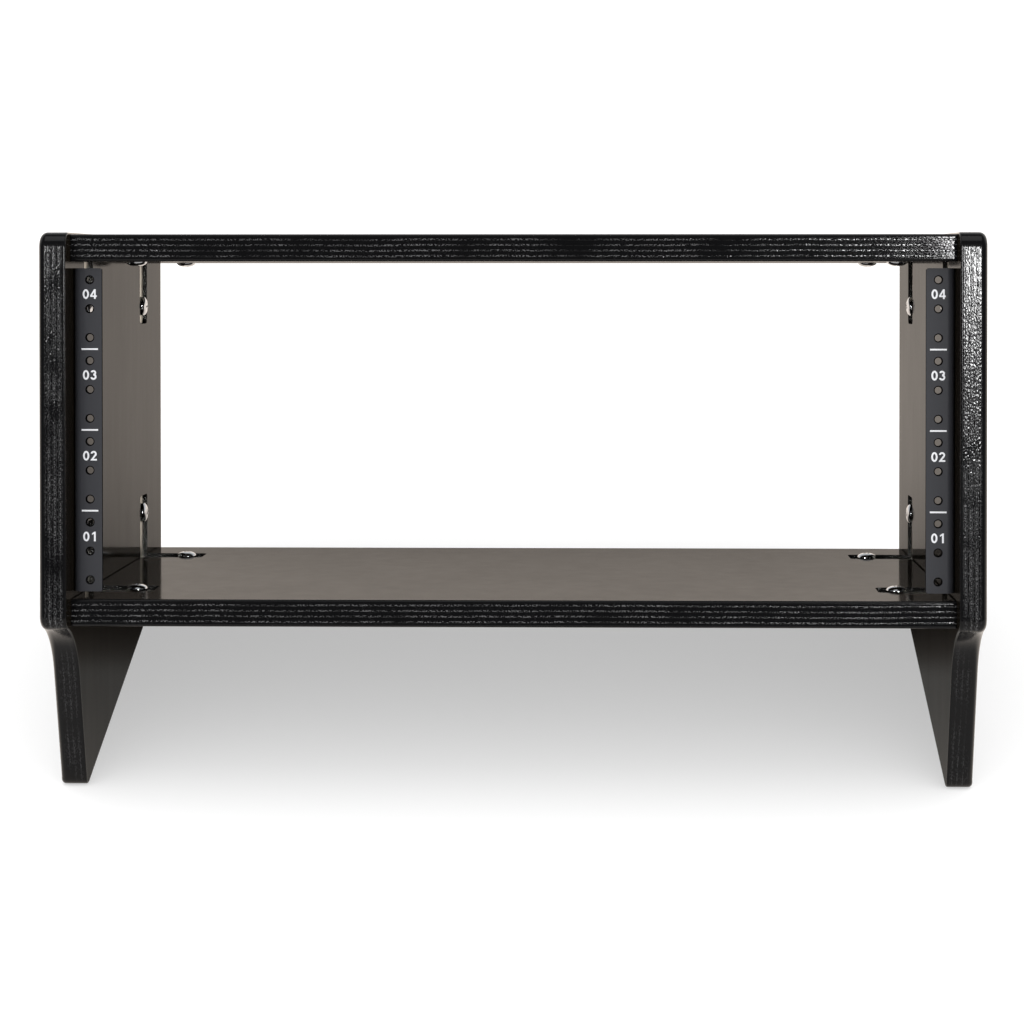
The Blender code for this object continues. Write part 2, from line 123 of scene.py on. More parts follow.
def side_outline():
    """Side panel from the top front corner down the front, round the wedge leg and up the back."""
    down_leg = Vector((math.sin(LEG_RAKE), -math.cos(LEG_RAKE)))
    down_belly = Vector((math.cos(BELLY_SLOPE), -math.sin(BELLY_SLOPE)))
    belly = Vector((0, BELLY_RISE))
    foot = Vector((FOOT_SETBACK, -FOOT_DROP))
    throat = belly + down_belly * ((foot - belly).cross(down_leg) / down_belly.cross(down_leg))
    return rounded_outline(
        [
            (0, PANEL_TOP, CORNER_RADIUS, 16),
            (*belly, CORNER_RADIUS, 14),
            (*throat, THROAT_RADIUS, 32),
            (*foot, FOOT_RADIUS, 16),
            (PANEL_DEPTH, -HEEL_DROP, CORNER_RADIUS, 16),
            (PANEL_DEPTH, PANEL_TOP, CORNER_RADIUS, 16),
        ]
    )


lean = Matrix.Rotation(-LEAN, 3, "X")
turned = [lean @ Vector((0, *point)) for point, *_ in side_outline()]
middle_y = (min(point.y for point in turned) + max(point.y for point in turned)) / 2
foot_z = (lean @ Vector((0, FOOT_SETBACK, -FOOT_DROP))).z
LEANING = Matrix.Translation((0, -middle_y, -foot_z)) @ lean.to_4x4()
print("outline points", len(turned), "leaning frame at", [round(v, 5) for v in LEANING.translation])

# %% [markdown]
# ## The camera
# The photograph was taken almost straight on to the leaning front, a little above its middle, with a
# longish lens whose frame was shifted. The numbers come from a fit of the rack's own edges, in the leaning
# frame. The shift is kept so small that the other views still hold the whole rack.

# %% Camera
FRAME_PIXELS = 1024
FOCAL_PIXELS = 2432.345
CAMERA_PLACE = (0.054499, -1.312939, 0.193762)
CAMERA_TURN = 0.0202
CAMERA_DOWN = 0.0111
PRINCIPAL_POINT = (563, 300)

camera_data = bpy.data.cameras.new("camera")
camera_data.sensor_width = 36
camera_data.lens = FOCAL_PIXELS * camera_data.sensor_width / FRAME_PIXELS
camera_data.shift_x = 0.5 - PRINCIPAL_POINT[0] / FRAME_PIXELS
camera_data.shift_y = PRINCIPAL_POINT[1] / FRAME_PIXELS - 0.5
camera = bpy.data.objects.new("camera", camera_data)
bpy.context.scene.collection.objects.link(camera)
aim = Matrix.Rotation(CAMERA_TURN, 4, "Z") @ Matrix.Rotation(math.pi / 2 - CAMERA_DOWN, 4, "X")
camera.matrix_world = LEANING @ Matrix.Translation(CAMERA_PLACE) @ aim
bpy.context.scene.camera = camera
print("lens", round(camera_data.lens, 1), "mm at", [round(v, 3) for v in camera.matrix_world.translation])

# %% [markdown]
# ## Sums on sockets
# A finish is a small calculation on every point of a surface. Written with nodes alone it is hard to read,
# so a socket is wrapped in a class that knows plus, minus, times and over. Any other node comes from one
# method, which serves materials, the world and Geometry Nodes alike. Only numbers go through these sums.
# Colours go through Mix nodes.

# %% A socket that takes part in sums
class Amount:
    """A number that nodes work out, such as one that varies over a surface."""

    def __init__(self, owner, socket):
        self.owner = owner
        self.socket = socket

    def sum(self, operation, *values):
        node = self.owner.node("ShaderNodeMath", dict(enumerate(values)), operation=operation)
        return Amount(self.owner, node.outputs[0])

    def __add__(self, other):
        return self.sum("ADD", self, other)

    def __sub__(self, other):
        return self.sum("SUBTRACT", self, other)

    def __rsub__(self, other):
        return self.sum("SUBTRACT", other, self)

    def __mul__(self, other):
        return self.sum("MULTIPLY", self, other)

    def __truediv__(self, other):
        return self.sum("DIVIDE", self, other)

    def __rtruediv__(self, other):
        return self.sum("DIVIDE", other, self)

    __radd__ = __add__
    __rmul__ = __mul__

    def absolute(self):
        return self.sum("ABSOLUTE", self)

    def above(self, other):
        """The larger of the two."""
        return self.sum("MAXIMUM", self, other)

    def ramp(self, low, high, kind="LINEAR"):
        """0 below low, 1 above high and even between; high may be the lower one."""
        inputs = {"Value": self, "From Min": low, "From Max": high}
        node = self.owner.node("ShaderNodeMapRange", inputs, interpolation_type=kind)
        return Amount(self.owner, node.outputs["Result"])

    def step(self, low, high):
        """A ramp with a soft start and end."""
        return self.ramp(low, high, "SMOOTHSTEP")

    def between(self, rise, fall):
        """1 where two soft steps overlap, each given by its low and high."""
        return self.step(*rise) * self.step(*fall)


print("reflected sums", [name for name in vars(Amount) if name.startswith("__r")])

# %% A node tree, and a finish
class NodeTree:
    """A node tree to which every node is added in the same way."""

    def __init__(self, tree):
        self.tree = tree

    def put(self, socket, value):
        """Sets a socket, or links it."""
        if isinstance(value, Amount):
            value = value.socket
        if isinstance(value, bpy.types.NodeSocket):
            self.tree.links.new(value, socket)
        else:
            socket.default_value = value

    def node(self, kind, inputs=(), **settings):
        """Any node: its settings first, then the values or links of its sockets, a list for several."""
        made = self.tree.nodes.new(kind)
        for name, value in settings.items():
            setattr(made, name, value)
        for name, value in dict(inputs).items():
            for source in value if isinstance(value, list) else [value]:
                self.put(made.inputs[name], source)
        return made

    def axes(self, vector):
        """The numbers of a vector, by the names of their axes."""
        split = self.node("ShaderNodeSeparateXYZ", {"Vector": vector})
        return {axis: Amount(self, split.outputs[axis]) for axis in "XYZ"}


class Finish(NodeTree):
    """A procedural material with one Principled shader."""

    def __init__(self, name, **fixed):
        self.material = bpy.data.materials.new(name)
        self.material.use_nodes = True
        super().__init__(self.material.node_tree)
        self.shader = self.tree.nodes["Principled BSDF"]
        self.set(**fixed)

    def set(self, **values):
        for name, value in values.items():
            self.put(self.shader.inputs[name.replace("_", " ")], value)

    def place(self, leaning=False, scale=(1, 1, 1)):
        """Object coordinates, turned into the leaning frame on request."""
        place = self.node("ShaderNodeTexCoord").outputs["Object"]
        if leaning:
            back = LEANING.inverted()
            inputs = {"Vector": place, "Location": back.translation, "Rotation": (LEAN, 0, 0)}
            place = self.node("ShaderNodeMapping", inputs).outputs["Vector"]
        return self.node("ShaderNodeMapping", {"Vector": place, "Scale": scale}).outputs["Vector"]

    def noise(self, vector, scale, detail=2.0):
        """Cloudy noise; the scale is about the number of its cells to the metre."""
        inputs = {"Vector": vector, "Scale": scale, "Detail": detail}
        return Amount(self, self.node("ShaderNodeTexNoise", inputs).outputs["Fac"])

    def mix(self, factor, first, second):
        """The first colour, which gives way to the second as the factor goes from 0 to 1."""
        node = self.node("ShaderNodeMix", {"Factor": factor}, data_type="RGBA")
        colours = [socket for socket in node.inputs if socket.type == "RGBA"]
        for socket, value in zip(colours, (first, second)):
            self.put(socket, value)
        return next(socket for socket in node.outputs if socket.type == "RGBA")

    def bump(self, height, distance):
        inputs = {"Height": height, "Distance": distance}
        self.set(Normal=self.node("ShaderNodeBump", inputs).outputs["Normal"])


print("a finish can", [name for name in vars(Finish) if not name.startswith("_")])

# %% [markdown]
# ## Film on the faces
# Both faces of the plywood carry a brown-black resin film. Seen straight on it is nearly black, and at a
# flat angle it mirrors the ground, a little blurred. A coat over a matt dark ground does that: the coat's
# share sets how much is mirrored. It varies in upright bands, because the film is pressed over veneer that
# is never quite flat. At the back arris of the side panels a light brown strip is painted in: a painted
# highlight where the eased arris catches the light from behind. Near the ends of the boards the film turns
# near black and loses its coat, which draws a thin dark line along each joint.

# %% Film
PAINTED_HIGHLIGHT_STRIP = 0.004
JOINT_LINE_WIDTH = 0.0006
MIRRORED_SHARE = 0.225
FILM_RELIEF = 0.00001
FILM_DARK = (0.006, 0.0048, 0.0035, 1)
FILM_BROWN = (0.01, 0.0079, 0.0058, 1)
PAINTED_HIGHLIGHT_BROWN = (0.045, 0.029, 0.018, 1)
JOINT_LINE_BLACK = (0.002, 0.002, 0.002, 1)

film = Finish("film", Roughness=0.6, Specular_IOR_Level=0.0, Coat_Roughness=0.09, Coat_IOR=1.5)
place = film.place(leaning=True)
axes = film.axes(place)
across = axes["X"].absolute()
bands = film.noise(film.place(leaning=True, scale=(1, 1, 0.12)), 90)
cloud = film.noise(place, 18, 3)
bay_side = across.step(HALF_BAY + PLY / 2, HALF_BAY)
# A light brown strip at the back arris of the side panels: a painted highlight where the arris catches the
# light from behind.
painted_highlight = axes["Y"].step(PANEL_DEPTH - PAINTED_HIGHLIGHT_STRIP * 1.2, PANEL_DEPTH - PAINTED_HIGHLIGHT_STRIP) * bay_side
# Near the ends of the boards the film is made near black and loses its coat: a thin dark line along each
# joint.
joint_line = across.between((BOARD_END - JOINT_LINE_WIDTH, BOARD_END - JOINT_LINE_WIDTH / 2), (HALF_BAY, BOARD_END))
film.set(Coat_Weight=(cloud * 0.04 + bands * 0.05 + MIRRORED_SHARE) * (1 - joint_line))
ground = film.mix(joint_line, film.mix(cloud, FILM_DARK, FILM_BROWN), JOINT_LINE_BLACK)
film.set(Base_Color=film.mix(painted_highlight, ground, PAINTED_HIGHLIGHT_BROWN))
film.bump(film.noise(place, 1400), FILM_RELIEF)
print("film sockets in use", sum(socket.is_linked for socket in film.shader.inputs))

# %% [markdown]
# ## Paint on the edges
# The cut edges are sprayed gloss black. In plywood every second ply shows its end grain, which drinks the
# paint and stays rough: along each such ply runs a row of small light specks. Their pale colour is dust in
# the grain and painted glints, the light that the rough grain would catch, put into the colour. The
# coordinate across the sheet gives the depth in the stack of plies, and a row is where that depth is a whole
# number of steps. The side panels also have fainter specks of the same painted glint between the rows and
# dull seams beside them, and their rows fade on the leg. The rest of the edge is glossy but pitted, so a
# lamp's reflection breaks up into sparkle.

# %% Rows of end grain
ROWS = 4
ROW_STEP = PLY / (ROWS + 1)
ROW_EDGE = (0.0006, 0.00025)
SEAM_FROM_ROW = 0.0009
SEAM_EDGE = (0.00022, 0.0001)
SLOW_WAVE = 0.0016
QUICK_WAVE = 0.0006


def rows_and_seams(paint, place, depth):
    """Masks of the rows, which wander a little in the sheet, and of the thin seams beside them."""
    wander = paint.noise(place, 9, 1) * SLOW_WAVE + paint.noise(place, 60, 1) * QUICK_WAVE
    steps = (depth + wander - (SLOW_WAVE + QUICK_WAVE) / 2) / ROW_STEP + 0.5
    off_row = (steps.sum("FRACT", steps) - 0.5).absolute() * ROW_STEP
    return off_row.step(*ROW_EDGE), (off_row - SEAM_FROM_ROW).absolute().step(*SEAM_EDGE)


def drawn_out(paint, across_axis, share):
    """The place on an edge, scaled so that a noise has cells that are longer along the edge."""
    return paint.place(leaning=True, scale=tuple(1.0 if axis == across_axis else share for axis in "XYZ"))


print("rows of specks", ROWS, "at", round(ROW_STEP * 1000, 2), "mm")

# %% Painted edge
PAINT_BLACK = (0.003, 0.003, 0.0034, 1)
DUST_AND_GLINT_GREY = (0.1, 0.1, 0.102, 1)
OUTER_ROUND = 0.004
BOARD_EASING = 0.0016
EASED_ARRIS = (0.0012, 0.0018)
TOP_PART = (PANEL_TOP - 0.1, PANEL_TOP - 0.03)
START_OF_LEG = (-0.004, 0.004)
LEFT_ON_LEG = 0.3
DUST_AND_GLINT_FROM = (0.49, 0.58)
SPECK_FROM = (0.58, 0.68)
SPECK_SHARE = 0.35
PIT_BELOW = (0.36, 0.3)
PATCH_FROM = (0.3, 0.6)
BOARD_BLISTERS = 0.11
SIDE_BLISTERS = 0.12
LOWER_AT_TOP = 0.055
DASH_HEIGHT = 0.05
STREAK_HEIGHT = 0.035
RELIEF = 0.001
GLOSSY = 0.06
DULL_SPOTS = 0.35
DULL_ROUNDS = 0.1


def painted_edge(name, across_axis, start, far_round, between_rows):
    """Gloss black over plies that are stacked along one axis of the leaning frame, from start on."""
    paint = Finish(name, Specular_IOR_Level=0.25)
    place = paint.place(leaning=True)
    axes = paint.axes(place)
    depth = axes[across_axis].absolute() - start
    flat = depth.between(EASED_ARRIS, (PLY - far_round * 0.7, PLY - far_round * 1.1))
    swelling = BOARD_BLISTERS
    if across_axis == "X":
        height = axes["Z"]
        swelling = SIDE_BLISTERS - height.step(*TOP_PART) * LOWER_AT_TOP
        flat = flat * height.step(PANEL_TOP - CORNER_RADIUS * 0.85, PANEL_TOP - CORNER_RADIUS)
        flat = flat * (height.step(*START_OF_LEG) * (1 - LEFT_ON_LEG) + LEFT_ON_LEG)
    row, seam = rows_and_seams(paint, place, depth)
    short = drawn_out(paint, across_axis, 0.55)
    dashes = paint.noise(short, 2000, 0)
    blisters = paint.noise(short, 1350, 0)
    streaks = paint.noise(drawn_out(paint, across_axis, 0.12), 1000, 0)
    patches = paint.noise(place, 45, 3).step(*PATCH_FROM)
    # Light specks in the colour, in rows and between them: dust in the grain and painted glints of light.
    specks = blisters.step(*SPECK_FROM) * between_rows * SPECK_SHARE
    dust_and_glint = (dashes.step(*DUST_AND_GLINT_FROM) * row).above(specks) * patches * flat
    dull = (seam * patches).above(dashes.step(*PIT_BELOW)) * flat * between_rows
    paint.set(Base_Color=paint.mix(dust_and_glint, PAINT_BLACK, DUST_AND_GLINT_GREY))
    paint.set(Roughness=dull * DULL_SPOTS + (1 - flat) * DULL_ROUNDS + GLOSSY)
    raised = blisters * swelling * (row * (1 - between_rows) + between_rows)
    raised = raised + row * dashes * DASH_HEIGHT + streaks * STREAK_HEIGHT * between_rows
    paint.bump(raised * flat, RELIEF)
    return paint


side_edge = painted_edge("side_edge", "X", HALF_BAY, OUTER_ROUND, between_rows=1.0)
board_edges = {}
for board_name, underside in (("bottom", 0), ("top", CEILING)):
    edge = painted_edge(f"{board_name}_edge", "Z", underside, BOARD_EASING, between_rows=0.12)
    board_edges[board_name] = edge
print("painted edges", 1 + len(board_edges))

# %% [markdown]
# ## Slots, steel and print
# The routed slots got the same paint over rough end grain. The rails are powder coated, which leaves a fine
# even grit. The brackets are zinc plated, cloudy and slightly yellow, and the screws have a bright plate.

# %% Slots, steel and print
routed = Finish("routed_slot", Base_Color=(0.006, 0.0055, 0.005, 1), Roughness=0.25, Specular_IOR_Level=0.4)
routed.bump(routed.noise(routed.place(leaning=True), 900), 0.0006)

powder = Finish("powder_coat", Base_Color=(0.038, 0.039, 0.045, 1), Roughness=0.5, Specular_IOR_Level=0.12)
powder.bump(powder.noise(powder.place(), 2600), 0.00005)
# Near black without gloss: painted shade inside the tapped holes and along the rail's cut edges and ends.
cut_shade = Finish("tapped_steel", Base_Color=(0.002, 0.002, 0.002, 1), Roughness=0.5, Specular_IOR_Level=0.0)
print_white = Finish("printed_white", Base_Color=(0.78, 0.79, 0.82, 1), Roughness=0.5)

zinc = Finish("zinc", Metallic=1.0)
spangle = zinc.noise(zinc.place(), 160, 3)
zinc.set(Roughness=spangle * 0.2 + 0.22)
zinc.set(Base_Color=zinc.mix(spangle, (0.46, 0.45, 0.4, 1), (0.6, 0.59, 0.54, 1)))

chrome = Finish("bright_plate", Base_Color=(0.46, 0.47, 0.49, 1), Metallic=1.0)
chrome.set(Roughness=chrome.noise(chrome.place(), 900) * 0.08 + 0.05)
blackened = Finish("blackened_screw", Base_Color=(0.02, 0.02, 0.022, 1), Metallic=0.6, Roughness=0.35)
print("finishes", len(bpy.data.materials))

# %% [markdown]
# ## Mesh helpers
# Boards, rails and side panels are all one idea: an outline that is carried across or along, ring after
# ring, and closed at both ends. What is cut out of them is cut with the exact Boolean, and the finish of the
# cutter stays on the faces that it leaves.

# %% Rings to mesh
def add_object(name, mesh):
    made = bpy.data.objects.new(name, mesh)
    bpy.context.scene.collection.objects.link(made)
    return made


def outward_mesh(name, work):
    """The mesh of closed bodies, with its faces pointing outwards."""
    bmesh.ops.recalc_face_normals(work, faces=work.faces)
    mesh = bpy.data.meshes.new(name)
    work.to_mesh(mesh)
    work.free()
    return mesh


def closed_mesh(name, bodies, *finishes, loop=False):
    """Bodies through rings of equal length, with a face at either end, or joined up in a loop."""
    work = bmesh.new()
    for rings in bodies:
        rows = [[work.verts.new(point) for point in ring] for ring in rings]
        for low, high in zip(rows, rows[1:] + (rows[:1] if loop else [])):
            for face in zip(low, low[1:] + low[:1], high[1:] + high[:1], high):
                work.faces.new(face)
        if not loop:
            work.faces.new(rows[0][::-1])
            work.faces.new(rows[-1])
    mesh = outward_mesh(name, work)
    for finish in finishes:
        mesh.materials.append(finish.material)
    return mesh


def film_and_edge(mesh, across):
    """The first finish on the faces that are square to the axis, and the second on all others."""
    for face in mesh.polygons:
        face.material_index = 0 if abs(face.normal.dot(Vector(across))) > 0.9999 else 1


trial = closed_mesh("trial", [[[(0, 0, z), (1, 0, z), (0, 1, z)] for z in (0, 1)]])
print("faces of a three-sided rod", len(trial.polygons))
bpy.data.meshes.remove(trial)

# %% Cuts and finished pieces
SMOOTH_BELOW = math.radians(32)


def cutter(name, finish, *bodies):
    return add_object(name, closed_mesh(name, bodies, finish))


def add_boolean(item, operation, tool):
    boolean = item.modifiers.new(tool.name, "BOOLEAN")
    boolean.operation = operation
    boolean.solver = "EXACT"
    boolean.material_mode = "TRANSFER"
    boolean.object = tool


def evaluated_mesh(item):
    """An object's mesh with its modifiers applied."""
    bpy.context.view_layer.update()
    return bpy.data.meshes.new_from_object(item.evaluated_get(bpy.context.evaluated_depsgraph_get()))


def finished(name, mesh, cutters=(), smooth=True, leaning=True):
    """The piece with its cuts made and its normals weighted by area, placed in the world by its vertices."""
    if smooth:
        mesh.shade_smooth()
        mesh.set_sharp_from_angle(angle=SMOOTH_BELOW)
    blank = add_object(f"{name}_blank", mesh)
    for tool in cutters:
        add_boolean(blank, "DIFFERENCE", tool)
    if smooth:
        even = blank.modifiers.new("even_faces", "WEIGHTED_NORMAL")
        even.keep_sharp = True
        even.weight = 100
    result = evaluated_mesh(blank)
    for item in (blank, *cutters):
        bpy.data.objects.remove(item, do_unlink=True)
    if leaning:
        result.transform(LEANING)
    result.name = name
    return add_object(name, result)


def ride_and_replace(piece, nodes):
    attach(piece, "root")
    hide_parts(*nodes)
    print(piece.name, len(piece.data.polygons), "faces for", len(nodes), "nodes")


print("smooth below", round(math.degrees(SMOOTH_BELOW)), "degrees")

# %% Where the brackets are
BRACKET_STEEL = 0.002
BRACKET_WIDTH = 0.0224
BRACKET_REACH = 0.038
BRACKET_CORNER = 0.003
BRACKET_RECESS = 0.0023
BRACKET_FROM_BOARD_EDGE = 0.047

corners = []
for side_name, side in SIDES:
    for depth_name, depth in (
        ("front", BOARD_INSET + BRACKET_FROM_BOARD_EDGE),
        ("back", BOARD_INSET + BOARD_DEPTH - BRACKET_FROM_BOARD_EDGE),
    ):
        for level_name, level, up in (("bottom", FLOOR, 1), ("top", CEILING, -1)):
            corners.append((f"{depth_name}_{level_name}_{side_name}", side, depth, level, up))
print("corners with a bracket", len(corners))

# %% Slots of the brackets
SLOT_DEPTH = BRACKET_RECESS + BRACKET_STEEL + FIT
OVERCUT = 0.002
CORNER_STEPS = 8


def slot_body(leg, side, depth, level, up):
    """Cutter for one leg's slot, with the round corners that a routing bit leaves."""
    past = -OVERCUT if leg == "board" else -SLOT_DEPTH
    half = BRACKET_WIDTH / 2 + FIT
    reach = BRACKET_REACH + FIT
    shape = [
        (past, -half, 0, 0),
        (reach, -half, BRACKET_CORNER + FIT, CORNER_STEPS),
        (reach, half, BRACKET_CORNER + FIT, CORNER_STEPS),
        (past, half, 0, 0),
    ]
    rings = []
    for height in (-SLOT_DEPTH, OVERCUT):
        ring = []
        for point, *_ in rounded_outline(shape):
            into_bay, above = (point.x, height) if leg == "board" else (height, point.x)
            ring.append((side * (HALF_BAY - into_bay), depth + point.y, level + up * above))
        rings.append(ring)
    return rings


print("slots", round(SLOT_DEPTH * 1000, 1), "mm deep")

# %% [markdown]
# ## Side panels
# Each side panel is one piece of 15 mm plywood, cut to a wedge leg, its outer arris rounded by a 4 mm
# router bit and its inner one only eased. The outline is carried across in rings that draw in towards both
# faces. Along the table the outer round is small, so its radius changes within the corner arcs.

# %% Side panels
ARRIS_STEPS = 10
EASING_STEPS = 4
INNER_EASING = 0.001
TABLE_ROUND = 0.0015


def side_panel_mesh(name, side):
    """Rings from the bay side outwards, each drawn in as far as the round has come at that depth."""
    rounds = (OUTER_ROUND, OUTER_ROUND, OUTER_ROUND, TABLE_ROUND, OUTER_ROUND, OUTER_ROUND)
    outline = []
    for point, outward, share, corner in side_outline():
        outline.append((point, outward, rounds[corner - 1] * (1 - share) + rounds[corner] * share))
    rings = []
    for step in range(EASING_STEPS + 1):
        angle = math.pi / 2 * step / EASING_STEPS
        across = side * (HALF_BAY + INNER_EASING * (1 - math.cos(angle)))
        drawn_in = INNER_EASING * (1 - math.sin(angle))
        rings.append([(across, *(point - outward * drawn_in)) for point, outward, _ in outline])
    for step in range(ARRIS_STEPS + 1):
        angle = math.pi / 2 * step / ARRIS_STEPS
        ring = []
        for point, outward, arris in outline:
            across = side * (HALF_BAY + PLY - arris * (1 - math.sin(angle)))
            ring.append((across, *(point - outward * arris * (1 - math.cos(angle)))))
        rings.append(ring)
    mesh = closed_mesh(name, [rings], film, side_edge)
    film_and_edge(mesh, (1, 0, 0))
    return mesh


for side_name, side in SIDES:
    bodies = [slot_body("panel", *place) for _, *place in corners if place[0] == side]
    slots = cutter(f"{side_name}_panel_slots", routed, *bodies)
    panel = finished(f"{side_name}_panel", side_panel_mesh(f"{side_name}_panel", side), [slots])
    ride_and_replace(panel, [f"{side_name}_side_panel"])

# %% [markdown]
# ## Boards
# The top and bottom boards butt between the side panels. Their long arrises are eased by hand, so the round
# is small. One short outline is carried from end to end, and the slots are cut in its bay side.

# %% Boards
EASING_ARC_STEPS = 6

for board_name, underside, level in (("bottom", 0, FLOOR), ("top", CEILING, CEILING)):
    front, back = BOARD_INSET, BOARD_INSET + BOARD_DEPTH
    places = ((front, underside + PLY), (front, underside), (back, underside), (back, underside + PLY))
    shape = [(*place, BOARD_EASING, EASING_ARC_STEPS) for place in places]
    outline = [point for point, *_ in rounded_outline(shape)]
    rings = [[(x, *point) for point in outline] for x in (-BOARD_END, BOARD_END)]
    mesh = closed_mesh(f"{board_name}_board", [rings], film, board_edges[board_name])
    film_and_edge(mesh, (0, 0, 1))
    bodies = [slot_body("board", *place) for _, *place in corners if place[2] == level]
    slots = cutter(f"{board_name}_board_slots", routed, *bodies)
    board = finished(f"{board_name}_board", mesh, [slots])
    ride_and_replace(board, [f"{board_name}_panel"])

# %% [markdown]
# ## Rack rails
# A rail is a 2 mm steel angle. Its face looks forward and has three tapped holes in each rack unit. The
# holes follow a rule, so Geometry Nodes make their cutters: a line of units, and on each point three cones.
# With equal radii a cone is a straight rod, and with unlike ones it is the chamfer that leads a screw in.

# %% Geometry Nodes helper
SOCKET_KINDS = {
    int: "NodeSocketInt",
    float: "NodeSocketFloat",
    bpy.types.Object: "NodeSocketObject",
    bpy.types.Material: "NodeSocketMaterial",
}


class ShapeTree(NodeTree):
    """A Geometry Nodes tree with named inputs, one of which is the finish."""

    def __init__(self, name, **sizes):
        super().__init__(bpy.data.node_groups.new(name, "GeometryNodeTree"))
        for way in ("INPUT", "OUTPUT"):
            self.tree.interface.new_socket("Geometry", in_out=way, socket_type="NodeSocketGeometry")
        self.values = {}
        for size, value in sizes.items():
            kind = next(SOCKET_KINDS[held] for held in SOCKET_KINDS if isinstance(value, held))
            socket = self.tree.interface.new_socket(size, in_out="INPUT", socket_type=kind)
            self.values[socket.identifier] = value
        self.given = self.tree.nodes.new("NodeGroupInput")

    def size(self, name):
        """A named input, ready for sums."""
        return Amount(self, self.given.outputs[name])

    def vector(self, **axes):
        return self.node("ShaderNodeCombineXYZ", axes).outputs[0]

    def copy_on(self, points, instance, **more):
        """Closes the tree: a copy on each point, made real and given the finish."""
        inputs = {"Points": points, "Instance": instance, **more}
        copied = self.node("GeometryNodeInstanceOnPoints", inputs).outputs[0]
        real = self.node("GeometryNodeRealizeInstances", {"Geometry": copied}).outputs[0]
        inputs = {"Geometry": real, "Material": self.size("Finish")}
        painted = self.node("GeometryNodeSetMaterial", inputs).outputs[0]
        self.node("NodeGroupOutput", {"Geometry": painted})

    def mesh(self, name, places=((0, 0, 0),), turns=()):
        """The plain mesh that the tree makes on loose points, each with the turn of its copy."""
        points = bpy.data.meshes.new(f"{name}_points")
        points.from_pydata([tuple(place) for place in places], [], [])
        turn = points.attributes.new("turn", "FLOAT_VECTOR", "POINT")
        for index, value in enumerate(turns):
            turn.data[index].vector = value
        host = add_object(f"{name}_host", points)
        maker = host.modifiers.new(name, "NODES")
        maker.node_group = self.tree
        for identifier, value in self.values.items():
            maker[identifier] = value
        mesh = evaluated_mesh(host)
        bpy.data.objects.remove(host, do_unlink=True)
        mesh.name = name
        return mesh


print("kinds of input", len(SOCKET_KINDS))

# %% Holes of a rail
TAPPED_CORE = 0.0038
HOLE_MOUTH = 0.005
HOLE_CHAMFER = 0.0006
HOLE_SIDES = 40
RAIL_RECESS = 0.018
RAIL_STEEL = 0.002


def hole_row(name, front_radius, back_radius, front, back):
    """Cutter for one row of holes up the rail, from depth front to depth back."""
    cones = ShapeTree(
        name,
        Units=UNITS,
        Unit_Height=RACK_UNIT,
        Edge_Distance=HOLE_FROM_UNIT_EDGE,
        Front_Radius=front_radius,
        Back_Radius=back_radius,
        Length=back - front,
        Back=back,
        Finish=cut_shade.material,
    )
    unit_height, edge = cones.size("Unit_Height"), cones.size("Edge_Distance")
    inputs = {"Count": cones.size("Units"), "Offset": cones.vector(Z=unit_height)}
    line = cones.node("GeometryNodeMeshLine", inputs).outputs["Mesh"]
    inputs = {
        "Vertices": HOLE_SIDES,
        "Radius Top": cones.size("Front_Radius"),
        "Radius Bottom": cones.size("Back_Radius"),
        "Depth": cones.size("Length"),
    }
    cone = cones.node("GeometryNodeMeshCone", inputs).outputs["Mesh"]
    placed = []
    for height in (edge, unit_height * 0.5, unit_height - edge):
        place = cones.vector(Y=cones.size("Back"), Z=height)
        inputs = {"Geometry": cone, "Translation": place, "Rotation": (math.pi / 2, 0, 0)}
        placed.append(cones.node("GeometryNodeTransform", inputs).outputs[0])
    unit = cones.node("GeometryNodeJoinGeometry", {"Geometry": placed}).outputs[0]
    cones.copy_on(line, unit)
    return cones.mesh(name)


core, mouth = TAPPED_CORE / 2, HOLE_MOUTH / 2
rod_mesh = hole_row("rail_bores", core, core, -OVERCUT, RAIL_STEEL + OVERCUT)
chamfer_mesh = hole_row("rail_chamfers", 2 * mouth - core, core, -HOLE_CHAMFER, HOLE_CHAMFER)
print("holes in a rail", len(rod_mesh.polygons) // (HOLE_SIDES + 2))

# %% Shape of a rail
HOLE_TO_RAIL_EDGE = 0.00665
RAIL_FACE_WIDTH = HOLE_FROM_BAY_SIDE - FIT + HOLE_TO_RAIL_EDGE
RAIL_FLANGE_DEPTH = 0.028
RAIL_BEND = 0.0025
RAIL_CORNER = 0.0006
SAME_PLACE = 1e-6


def round_edges(mesh, chosen, radius):
    """Rounds the edges whose two ends pass the test."""
    work = bmesh.new()
    work.from_mesh(mesh)
    edges = [edge for edge in work.edges if chosen(*(vertex.co for vertex in edge.verts))]
    bmesh.ops.bevel(work, geom=edges, offset=radius, segments=CORNER_STEPS, affect="EDGES")
    work.to_mesh(mesh)
    work.free()


